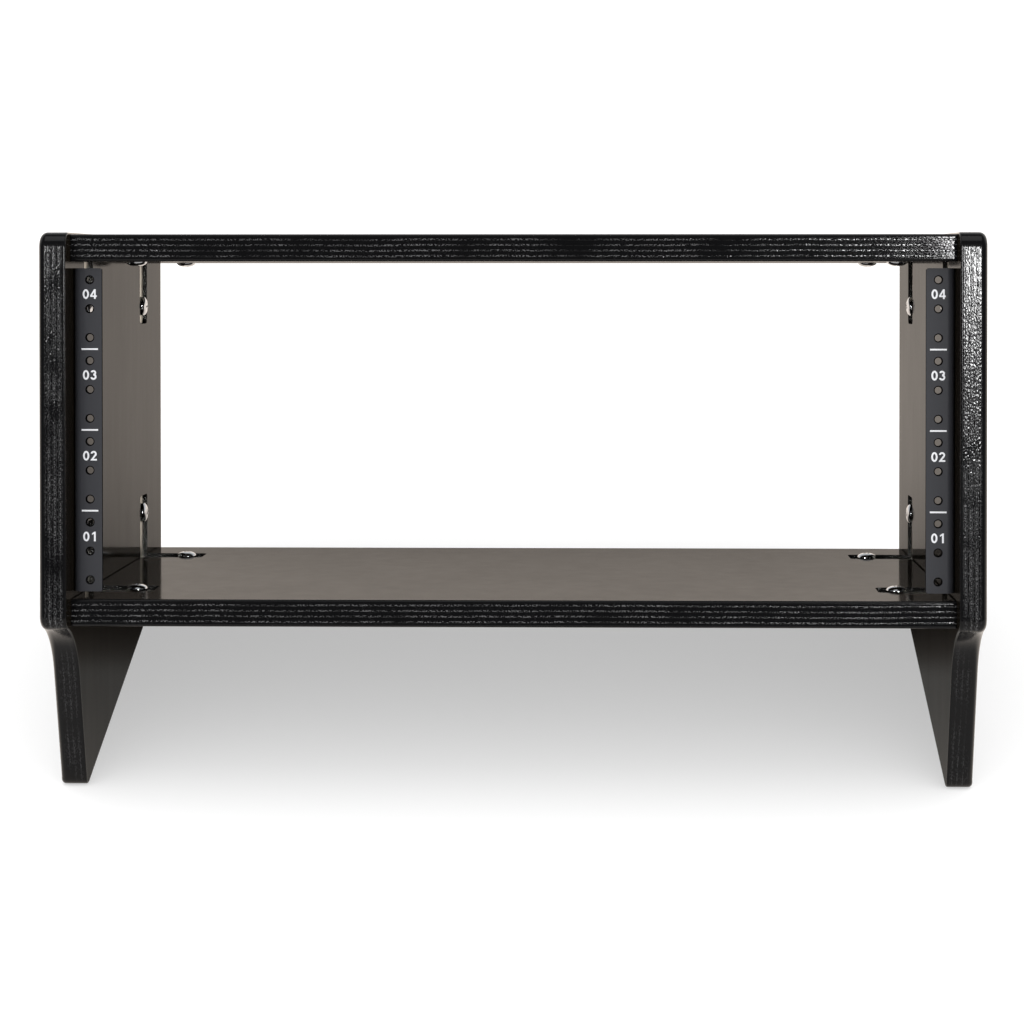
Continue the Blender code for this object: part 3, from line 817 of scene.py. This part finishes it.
def rail_mesh(name, side):
    """The angle as one outline carried up, powder coated, with painted shade on its cut edges and ends."""
    near, free = FIT, FIT + RAIL_FACE_WIDTH
    shape = [
        (near, 0, RAIL_BEND + RAIL_STEEL, 10),
        (free, 0, 0, 0),
        (free, RAIL_STEEL, 0, 0),
        (near + RAIL_STEEL, RAIL_STEEL, RAIL_BEND, 8),
        (near + RAIL_STEEL, RAIL_FLANGE_DEPTH, 0, 0),
        (near, RAIL_FLANGE_DEPTH, 0, 0),
    ]
    outline = [point for point, *_ in rounded_outline(shape)]
    rings = [[(-side * point.x, point.y, v) for point in outline] for v in (0, RAIL_LENGTH)]
    mesh = closed_mesh(name, [rings], powder, cut_shade)

    def free_corner(a, b):
        through = abs(a.z - b.z) < SAME_PLACE and abs((a - b).length - RAIL_STEEL) < SAME_PLACE
        return through and abs(abs(a.x) - free) < SAME_PLACE and abs(abs(b.x) - free) < SAME_PLACE

    round_edges(mesh, free_corner, RAIL_CORNER)
    mesh.transform(Matrix.Translation((side * HALF_BAY, RAIL_RECESS, RAIL_FOOT)))
    for face in mesh.polygons:
        at_free_edge = abs(face.center.x) < HALF_BAY - free + RAIL_CORNER
        on_free_edge = at_free_edge and abs(face.normal.y) < 0.5
        face.material_index = 1 if on_free_edge or abs(face.normal.z) > 0.5 else 0
    return mesh


print("rail", round(RAIL_FACE_WIDTH * 1000, 1), "mm wide,", round(RAIL_LENGTH * 1000, 1), "mm long")

# %% Rails
for side_name, side in SIDES:
    hole_line = Vector((side * HOLE_SPACING_ACROSS / 2, RAIL_RECESS, RAIL_FOOT))
    tools = []
    for cut_mesh in (rod_mesh, chamfer_mesh):
        tool = add_object(f"{side_name}_{cut_mesh.name}", cut_mesh.copy())
        tool.data.transform(Matrix.Translation(hole_line))
        tools.append(tool)
    rail = finished(f"{side_name}_rail", rail_mesh(f"{side_name}_rail", side), tools)
    ride_and_replace(rail, [f"{side_name}_rack_rail"])

# %% [markdown]
# ## Numbers and marks
# Each unit is numbered from the bottom between its two upper holes, and a white bar marks where one unit
# ends and the next begins. The digits are drawn here as strokes of even width, on a height of one: a text
# object would bring its own lettering. Ink is a film of 0.05 mm, so each mark is a very thin solid.

# %% Strokes of the digits
NUMBER_HEIGHT = 0.0053
DIGIT_STEP = 0.0042
NUMBER_DROP = 0.0142
STROKE = 0.185
INK = 0.00005
INK_GAP = 0.00001


def arc(centre, across, up, start, end, steps):
    """Points of an elliptical arc; angles in degrees from the right, counter-clockwise."""
    angles = [math.radians(start + (end - start) * step / steps) for step in range(steps + 1)]
    return [Vector((centre[0] + across * math.cos(a), centre[1] + up * math.sin(a))) for a in angles]


def ribbon(path, closed=False):
    """Left and right side of a stroke along a path, mitred at its corners."""
    left, right = [], []
    for index, point in enumerate(path):
        before = path[index - 1] if index or closed else None
        after = path[(index + 1) % len(path)] if index < len(path) - 1 or closed else None
        ways = [way.normalized() for way in (before and point - before, after and after - point) if way]
        way = sum(ways, Vector((0, 0))).normalized()
        across = Vector((-way.y, way.x))
        reach = STROKE / 2 / max(across.dot(Vector((-ways[0].y, ways[0].x))), 0.5)
        left.append(point + across * reach)
        right.append(point - across * reach)
    return left, right


zero = ribbon(arc((0, 0), 0.235, 0.41, 0, 345, 23), closed=True)
one = [(0.19, 0.5), (0.04, 0.5), (-0.2, 0.32), (-0.2, 0.16), (0.0, 0.28), (0.0, -0.5), (0.19, -0.5)]
two = arc((-0.01, 0.19), 0.225, 0.22, 172, -35, 16) + [Vector((-0.2, -0.41)), Vector((0.32, -0.41))]
three = arc((-0.02, 0.225), 0.2, 0.185, 165, -90, 16), arc((-0.02, -0.19), 0.235, 0.225, 90, -165, 16)
arm = [(0.06, 0.5), (-0.34, -0.14), (-0.34, -0.3), (0.35, -0.3), (0.35, -0.14), (-0.14, -0.14), (0.06, 0.2)]
post = [(0.06, 0.5), (0.06, -0.5), (0.24, -0.5), (0.24, 0.5)]
DIGITS = {
    "0": [("ring", *zero)],
    "1": [("area", one)],
    "2": [("strip", *ribbon(two))],
    "3": [("strip", *ribbon(stroke)) for stroke in three],
    "4": [("area", arm), ("area", post)],
}
print("digits", sorted(DIGITS))

# %% Digits as thin solids
def digit_mesh(digit):
    """The digit's strokes and areas as one thin solid, upright with its face to the front."""
    parts = []
    for kind, *sides in DIGITS[digit]:
        walls = []
        for depth in (0, INK / NUMBER_HEIGHT):
            walls.append([[(x, depth, height) for x, height in side] for side in sides])
        front, back = walls
        if kind == "area":
            rings = [front[0], back[0]]
        else:
            rings = list(zip(*front, *back[::-1]))
        mesh = closed_mesh(f"digit_{digit}", [rings], loop=kind == "ring")
        parts.append(add_object(mesh.name, mesh))
    for part in parts[1:]:
        add_boolean(parts[0], "UNION", part)
    mesh = evaluated_mesh(parts[0])
    for part in parts:
        bpy.data.objects.remove(part, do_unlink=True)
    mesh.transform(Matrix.Scale(NUMBER_HEIGHT, 4))
    return mesh


digit_meshes = {digit: digit_mesh(digit) for digit in DIGITS}
print("faces in the digits", {digit: len(mesh.polygons) for digit, mesh in digit_meshes.items()})

# %% Bars between the units
BAR_WIDTH = 0.0091
BAR_HEIGHT = 0.0009


def bar_column():
    """Bars at the limits between units, a line of them from one unit up."""
    tree = ShapeTree(
        "unit_bars",
        Bars=UNITS - 1,
        Unit_Height=RACK_UNIT,
        Width=BAR_WIDTH,
        Height=BAR_HEIGHT,
        Ink=INK,
        Finish=print_white.material,
    )
    step = tree.vector(Z=tree.size("Unit_Height"))
    inputs = {"Count": tree.size("Bars"), "Start Location": step, "Offset": step}
    line = tree.node("GeometryNodeMeshLine", inputs).outputs["Mesh"]
    size = tree.vector(X=tree.size("Width"), Y=tree.size("Ink"), Z=tree.size("Height"))
    tree.copy_on(line, tree.node("GeometryNodeMeshCube", {"Size": size}).outputs["Mesh"])
    return tree.mesh("unit_bars")


bars = bar_column()
print("faces in the bars", len(bars.polygons))

# %% Print on both rails
ink_front = RAIL_RECESS - INK_GAP - INK
work = bmesh.new()
for _, side in SIDES:
    centre = side * HOLE_SPACING_ACROSS / 2
    marks = [(bars, Vector((centre, ink_front + INK / 2, RAIL_FOOT)))]
    for unit in range(UNITS):
        height = RAIL_FOOT + (unit + 1) * RACK_UNIT - NUMBER_DROP
        for digit, offset in (("0", -DIGIT_STEP / 2), (str(unit + 1), DIGIT_STEP / 2)):
            marks.append((digit_meshes[digit], Vector((centre + offset, ink_front, height))))
    for mesh, place in marks:
        copy = mesh.copy()
        copy.transform(Matrix.Translation(place))
        work.from_mesh(copy)
        bpy.data.meshes.remove(copy)
print_mesh = outward_mesh("rail_print", work)
print_mesh.materials.append(print_white.material)
for face in print_mesh.polygons:
    face.material_index = 0
rail_print = finished("rail_print", print_mesh, smooth=False)
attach(rail_print, "root")
print(rail_print.name, len(rail_print.data.polygons), "faces")

# %% [markdown]
# ## Corner brackets
# Each bracket is a bent strip of zinc-plated steel with two holes. One is made at the origin, and Geometry
# Nodes put a copy at each of the eight corners, turned by quarter turns.

# %% Copies on points
def copies(name, source, places, turns, finish):
    """One mesh of the source at every place, each copy with its turn. The source itself goes."""
    tree = ShapeTree(f"{name}_copies", Copy=source, Finish=finish.material)
    info = tree.node("GeometryNodeObjectInfo", {"Object": tree.size("Copy")})
    turn = tree.node("GeometryNodeInputNamedAttribute", {"Name": "turn"}, data_type="FLOAT_VECTOR")
    turned = tree.node("FunctionNodeEulerToRotation", {"Euler": turn.outputs["Attribute"]})
    tree.copy_on(tree.size("Geometry"), info.outputs["Geometry"], Rotation=turned.outputs["Rotation"])
    mesh = tree.mesh(name, places, turns)
    bpy.data.objects.remove(source, do_unlink=True)
    mesh.transform(LEANING)
    return add_object(name, mesh)


quarter_turns = {(-1, 1): 0, (-1, -1): 1, (1, -1): 2, (1, 1): 3}
places = [(side * HALF_BAY, depth, level) for _, side, depth, level, _ in corners]
turns = [(0, math.pi / 2 * quarter_turns[(side, up)], 0) for _, side, _, _, up in corners]
print("places for brackets", len(places))

# %% Brackets
BRACKET_BEND = 0.0015
SCREW_FROM_BRACKET_END = 0.0108
BRACKET_SCREW_REACH = BRACKET_REACH - SCREW_FROM_BRACKET_END
SCREW_SHANK = 0.0055
HOLE_CLEARANCE = 0.0012
THROUGH = 0.01
ROD_SIDES = 48


def rod_body(start, end, diameter):
    """Cutter for a round hole from start to end."""
    upright = (Vector(end) - Vector(start)).to_track_quat("Z", "Y").to_matrix()
    rings = []
    for place in (start, end):
        ring = []
        for index in range(ROD_SIDES):
            angle = 2 * math.pi * index / ROD_SIDES
            spoke = Vector((math.cos(angle), math.sin(angle), 0)) * diameter / 2
            ring.append(Vector(place) + upright @ spoke)
        rings.append(ring)
    return rings


def bracket_mesh():
    """A bent strip at the origin, one leg along x and one along z, with round ends."""
    outer, inner = -BRACKET_RECESS - BRACKET_STEEL, -BRACKET_RECESS
    shape = [
        (outer, outer, BRACKET_BEND + BRACKET_STEEL, 12),
        (BRACKET_REACH, outer, 0, 0),
        (BRACKET_REACH, inner, 0, 0),
        (inner, inner, BRACKET_BEND, 10),
        (inner, BRACKET_REACH, 0, 0),
        (outer, BRACKET_REACH, 0, 0),
    ]
    outline = [point for point, *_ in rounded_outline(shape)]
    half = BRACKET_WIDTH / 2
    rings = [[(point.x, u, point.y) for point in outline] for u in (-half, half)]
    mesh = closed_mesh("bracket", [rings], zinc)

    def leg_end(a, b):
        through = abs((a - b).length - BRACKET_STEEL) < SAME_PLACE
        return through and abs(a.y - b.y) < SAME_PLACE and max(a.x, a.z) > BRACKET_REACH - SAME_PLACE

    round_edges(mesh, leg_end, BRACKET_CORNER)
    return mesh


hole = SCREW_SHANK + HOLE_CLEARANCE
reach = BRACKET_SCREW_REACH
down = (reach, 0, -THROUGH), (reach, 0, THROUGH)
aside = (-THROUGH, 0, reach), (THROUGH, 0, reach)
bracket_holes = cutter("bracket_holes", zinc, rod_body(*down, hole), rod_body(*aside, hole))
one_bracket = finished("one_bracket", bracket_mesh(), [bracket_holes], leaning=False)
brackets = copies("corner_brackets", one_bracket, places, turns, zinc)
ride_and_replace(brackets, [f"{name}_bracket" for name, *_ in corners])

# %% [markdown]
# ## Screws
# The pan-head screws have a cross drive. The head is a profile turned about its axis, the cross is cut out
# of it, and the copies stand on their seats as a driver left them, each turned a little further.

# %% One screw
HEAD_RIM = 0.42
CROWN_SWEEP = math.radians(70)
CROWN_STEPS = 10
BLUNT_POINT = 0.18
CROSS_FLOOR = 0.4
CROSS_TAPER = 0.4
CROSS_WING = 0.22
ABOVE_HEAD = 0.0005


def screw_object(name, finish, sides, head, head_height, shank, length, drive):
    """A pan-head screw that stands on the origin, head up, with a cross cut into its crown."""
    blunt = shank * BLUNT_POINT
    rim = head_height * HEAD_RIM
    crown = (head_height - rim) / math.sin(CROWN_SWEEP)
    profile = [(blunt, -length), (shank / 2, blunt - length), (shank / 2, 0), (head / 2, 0)]
    for step in range(CROWN_STEPS + 1):
        angle = CROWN_SWEEP * step / CROWN_STEPS
        profile.append((head / 2 * math.cos(angle), rim + crown * math.sin(angle)))
    around = [2 * math.pi * index / sides for index in range(sides)]
    rings = []
    for radius, height in profile:
        rings.append([(radius * math.cos(angle), radius * math.sin(angle), height) for angle in around])
    mesh = closed_mesh(name, [rings], finish)
    wedges = []
    for angle in (0, math.pi / 2):
        turn = Matrix.Rotation(angle, 3, "Z")
        wedge = []
        for share, height in ((CROSS_TAPER, head_height * CROSS_FLOOR), (1, head_height + ABOVE_HEAD)):
            long, wide = drive / 2 * share, drive / 2 * CROSS_WING * share
            ends = ((-long, -wide), (long, -wide), (long, wide), (-long, wide))
            wedge.append([turn @ Vector((*end, height)) for end in ends])
        wedges.append(cutter(f"{name}_drive_{len(wedges)}", finish, wedge))
    return finished(name, mesh, wedges, leaning=False)


def turn_to(way, spin):
    """The turn that stands a screw on a seat which faces this way, spun about its own axis."""
    upright = Vector(way).to_track_quat("Z", "Y").to_matrix()
    return (upright @ Matrix.Rotation(spin, 3, "Z")).to_euler()


print("crown of a screw head", round((1 - HEAD_RIM) * 100), "% of its height")

# %% Bracket screws
BRACKET_SCREW = {"head": 0.0118, "head_height": 0.0044, "length": 0.0105, "drive": 0.0058}
SCREW_TURN = 0.7
SEAT_DEPTH = BRACKET_RECESS - FIT

seats, turns, stems = [], [], []
for name, side, depth, level, up in corners:
    corner = Vector((side * HALF_BAY, depth, level))
    inward, upward = Vector((-side, 0, 0)), Vector((0, 0, up))
    for leg, seat, way in (
        ("board", corner + inward * BRACKET_SCREW_REACH - upward * SEAT_DEPTH, upward),
        ("panel", corner + upward * BRACKET_SCREW_REACH - inward * SEAT_DEPTH, inward),
    ):
        turns.append(turn_to(way, SCREW_TURN * len(seats)))
        seats.append(seat)
        stems.append(f"{name}_{leg}_screw")
one_screw = screw_object("one_screw", chrome, 48, shank=SCREW_SHANK, **BRACKET_SCREW)
screws = copies("bracket_screws", one_screw, seats, turns, chrome)
ride_and_replace(screws, stems)

# %% Rail screws
RAIL_SCREW = {"head": 0.0078, "head_height": 0.0026, "shank": 0.004, "length": 0.0115, "drive": 0.0038}
RAIL_SCREWS = 3
RAIL_SCREW_DEPTH = 0.0165

seats, turns, stems = [], [], []
for side_name, side in SIDES:
    for index in range(RAIL_SCREWS):
        height = RAIL_FOOT + RAIL_LENGTH * (index + 0.5) / RAIL_SCREWS
        seats.append((side * (HALF_BAY - 2 * FIT - RAIL_STEEL), RAIL_RECESS + RAIL_SCREW_DEPTH, height))
        turns.append(turn_to((-side, 0, 0), SCREW_TURN * index))
        stems.append(f"{side_name}_rail_screw_{index + 1}")
one_screw = screw_object("one_rail_screw", blackened, 32, **RAIL_SCREW)
rail_screws = copies("rail_screws", one_screw, seats, turns, blackened)
ride_and_replace(rail_screws, stems)

# %% [markdown]
# ## Studio
# The photograph has a white seamless ground with a soft shadow under the rack. The world lights everything
# evenly. To the camera it is white all round, and to a reflection it is white behind the rack and dim in
# front, where the room is. The floor keeps the shadow, and part of its white is its own light, with a
# little more behind the rack, painted light that pales the shadow there. To a reflection the floor is a
# painted ground: warm, with a glow that is strongest between the legs and weak under the bay, and darker in
# front of the feet. This painted light and shade gives the tones of the photograph. A large soft lamp hangs
# overhead, and two small ones beside the camera show only in gloss, as sparkle.

# %% Floor
FLOOR_SIZE = 16.0
PALE_GROUND = (0.55, 0.55, 0.55, 1)
MIRRORED_GROUND = (0.88, 0.78, 0.69, 1)
DIM_GROUND = (0.38, 0.37, 0.36, 1)
OWN_LIGHT = (0.445, 0.445, 0.445, 1)
OWN_LIGHT_BEHIND = (0.53, 0.53, 0.53, 1)
PAINTED_GLOW = (0.15, 0.14, 0.13, 1)
PAINTED_GLOW_BETWEEN_LEGS = (0.3, 0.3, 0.29, 1)
NO_LIGHT = (0, 0, 0, 1)
BEHIND_RACK = (0.05, 0.11)
BEFORE_FEET = (-0.13, -0.19)
BETWEEN_LEGS = ((-0.18, -0.14), (0.0, -0.04))
UNDER_BAY = ((-0.04, 0.03), (0.14, 0.1))


def rays(tree):
    """Whether a ray comes from the camera, straight or through glass, and whether it is a reflection."""
    path = tree.node("ShaderNodeLightPath").outputs
    seen = Amount(tree, path["Is Camera Ray"]).above(path["Is Transmission Ray"])
    return seen, Amount(tree, path["Is Glossy Ray"])


floor_mesh = bpy.data.meshes.new("studio_floor")
half = FLOOR_SIZE / 2
floor_corners = [(a * half, b * half, 0) for a, b in ((-1, -1), (1, -1), (1, 1), (-1, 1))]
floor_mesh.from_pydata(floor_corners, [], [(0, 1, 2, 3)])
ground = Finish("studio_floor", Roughness=0.9, Specular_IOR_Level=0.0, Emission_Strength=1.0)
seen, glossy = rays(ground)
back = ground.axes(ground.place())["Y"]
# Painted light: more of the floor's own light behind the rack, which pales the shadow there.
own_light = ground.mix(back.step(*BEHIND_RACK), OWN_LIGHT, OWN_LIGHT_BEHIND)
# Painted light and shade that only reflections see: a glow strongest between the legs and none under the
# bay.
painted_glow = ground.mix(back.between(*BETWEEN_LEGS), PAINTED_GLOW, PAINTED_GLOW_BETWEEN_LEGS)
painted_glow = ground.mix(back.between(*UNDER_BAY), painted_glow, NO_LIGHT)
ground.set(Emission_Color=ground.mix(seen, painted_glow, own_light))
# Painted shade in reflections: the mirrored ground is darker in front of the feet.
mirrored = ground.mix(back.step(*BEFORE_FEET), MIRRORED_GROUND, DIM_GROUND)
ground.set(Base_Color=ground.mix(glossy, PALE_GROUND, mirrored))
floor_mesh.materials.append(ground.material)
floor = add_object("studio_floor", floor_mesh)
print("floor", FLOOR_SIZE, "m square")

# %% World
WORLD_LEVEL = 1.4
ROOM_LEVEL = 0.1
FRONT_TO_BACK = (-0.1, 0.25)
HIGH_TO_LOW = (0.75, 0.35)

world = bpy.data.worlds.new("studio")
bpy.context.scene.world = world
world.use_nodes = True
sky = NodeTree(world.node_tree)
way = sky.axes(sky.node("ShaderNodeTexCoord").outputs["Generated"])
backdrop = way["Y"].ramp(*FRONT_TO_BACK) * way["Z"].ramp(*HIGH_TO_LOW)
mirrored = backdrop * (1 - ROOM_LEVEL) + ROOM_LEVEL
seen, glossy = rays(sky)
level = mirrored * glossy + WORLD_LEVEL * (1 - glossy)
background = sky.tree.nodes["Background"].inputs
sky.put(background["Color"], (1, 1, 1, 1))
sky.put(background["Strength"], level * (1 - seen) + seen)
print("world level", WORLD_LEVEL)

# %% Lamps
CARDS = {
    "right_of_camera": {"place": (0.59, -1.7, 0.27), "size": (0.22, 0.32), "power": 17},
    "left_of_camera": {"place": (-0.92, -1.7, 0.4), "size": (0.2, 0.3), "power": 12},
}


def soft_light(name, place, aim_at, size, power):
    """An area lamp, placed in the leaning frame."""
    data = bpy.data.lights.new(name, "AREA")
    data.shape = "RECTANGLE"
    data.size, data.size_y = size
    data.energy = power
    lamp = bpy.data.objects.new(name, data)
    lamp.location = LEANING @ Vector(place)
    way = LEANING @ Vector(aim_at) - lamp.location
    lamp.rotation_euler = way.to_track_quat("-Z", "Y").to_euler()
    bpy.context.scene.collection.objects.link(lamp)
    return lamp


soft_light("overhead", place=(0, -0.6, 2.0), aim_at=(0, 0.1, 0.0), size=(2.0, 1.4), power=10)
for name, card in CARDS.items():
    lamp = soft_light(name, aim_at=(0, 0.1, 0.1), **card)
    lamp.visible_diffuse = False
bpy.context.scene.view_settings.view_transform = "Standard"
print("lamps", len(bpy.data.lights))
